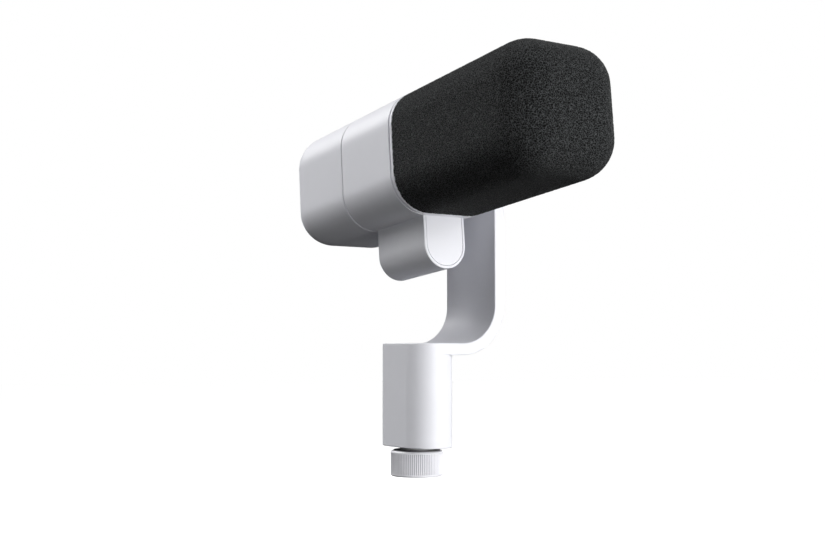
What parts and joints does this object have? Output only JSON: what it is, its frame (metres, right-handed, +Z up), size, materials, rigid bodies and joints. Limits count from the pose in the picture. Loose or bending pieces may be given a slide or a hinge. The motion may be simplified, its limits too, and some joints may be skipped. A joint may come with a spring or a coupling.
{
  "type": "desktop microphone",
  "caption": "Side-held broadcast microphone: rounded-square body with a slide-off foam windscreen, tilting on a one-sided yoke over a knurled stand coupling.",
  "frame": {"origin": "centre of the stand thread's mouth, at the underside of the knurled coupling ring", "axes": "+Z up along the stand thread, -Y towards the windscreen's front, +X towards the yoke's arm"},
  "size_m": [0.0678, 0.2042, 0.1886],
  "materials": {
    "shell_white": "satin white paint on a die casting",
    "ring_white": "satin white, fine straight knurl",
    "brass": "machined",
    "steel": "bright plated",
    "screw_steel": "black oxide",
    "magnet": "nickel plated",
    "pin_metal": "silver plated",
    "black_rubber": "matt",
    "black_plastic": "fine moulded grain",
    "switch_plastic": "satin",
    "grille_black": "matt black, perforated",
    "foam_black": "open-cell foam, charcoal",
    "inner_foam": "open-cell foam, fine",
    "capsule_metal": "turned",
    "board_green": "solder resist",
    "components": "moulded",
    "wire": "flexible jacket"
  },
  "bodies": {
    "coupling": {"coupling_ring": "ring_white", "thread_insert": "brass"},
    "yoke": {"yoke_arm": "shell_white", "swivel_bush": "steel", "thrust_washer": "black_plastic", "top_washer": "black_rubber", "pivot_cap": "shell_white"},
    "head": {"front_sleeve": "shell_white", "rear_cover": "shell_white", "seam_gasket": "black_rubber", "tie_screws": "screw_steel", "connector_housing": "shell_white", "connector_cap": "shell_white", "connector_shell": "steel", "connector_insert": "black_plastic", "connector_pins": "pin_metal", "housing_screws": "screw_steel", "deck": "black_plastic", "deck_screws": "screw_steel", "deck_magnets": "magnet", "switch_contacts": "board_green", "grille_basket": "grille_black", "pop_foam": "inner_foam", "capsule_carrier": "capsule_metal", "rear_shock_mount": "black_rubber", "front_shock_mount": "black_rubber", "capsule": "capsule_metal", "capsule_cap": "grille_black", "board_tray": "steel", "tray_screws": "screw_steel", "standoffs": "brass", "preamp_board": "board_green", "board_components": "components", "board_screws": "screw_steel", "signal_wires": "wire", "friction_disc": "black_plastic", "bearing_washer": "steel", "spring_washer": "steel", "pivot_bolt": "steel", "pivot_nut": "steel"},
    "windscreen": {"windscreen_foam": "foam_black", "windscreen_ring": "shell_white", "windscreen_magnets": "magnet"},
    "low_cut_button": {"low_cut_slider": "switch_plastic"},
    "presence_button": {"presence_slider": "switch_plastic"}
  },
  "joints": [
    {"name": "yoke_swivel", "type": "hinge", "parent": "coupling", "child": "yoke", "pos_m": [0, 0, 0.0136], "axis": [0, 0, 1], "continuous": true},
    {"name": "head_tilt", "type": "hinge", "parent": "yoke", "child": "head", "pos_m": [0.0345, 0, 0.15027], "axis": [1, 0, 0], "range_deg": [-230, 60]},
    {"name": "windscreen_slide", "type": "slide", "parent": "head", "child": "windscreen", "axis": [0, -0.996, 0.0896], "range_m": [0, 0.11]},
    {"name": "low_cut_switch", "type": "slide", "parent": "head", "child": "low_cut_button", "axis": [1, 0, 0], "range_m": [0, 0.0024]},
    {"name": "presence_switch", "type": "slide", "parent": "head", "child": "presence_button", "axis": [1, 0, 0], "range_m": [0, 0.0024]}
  ]
}
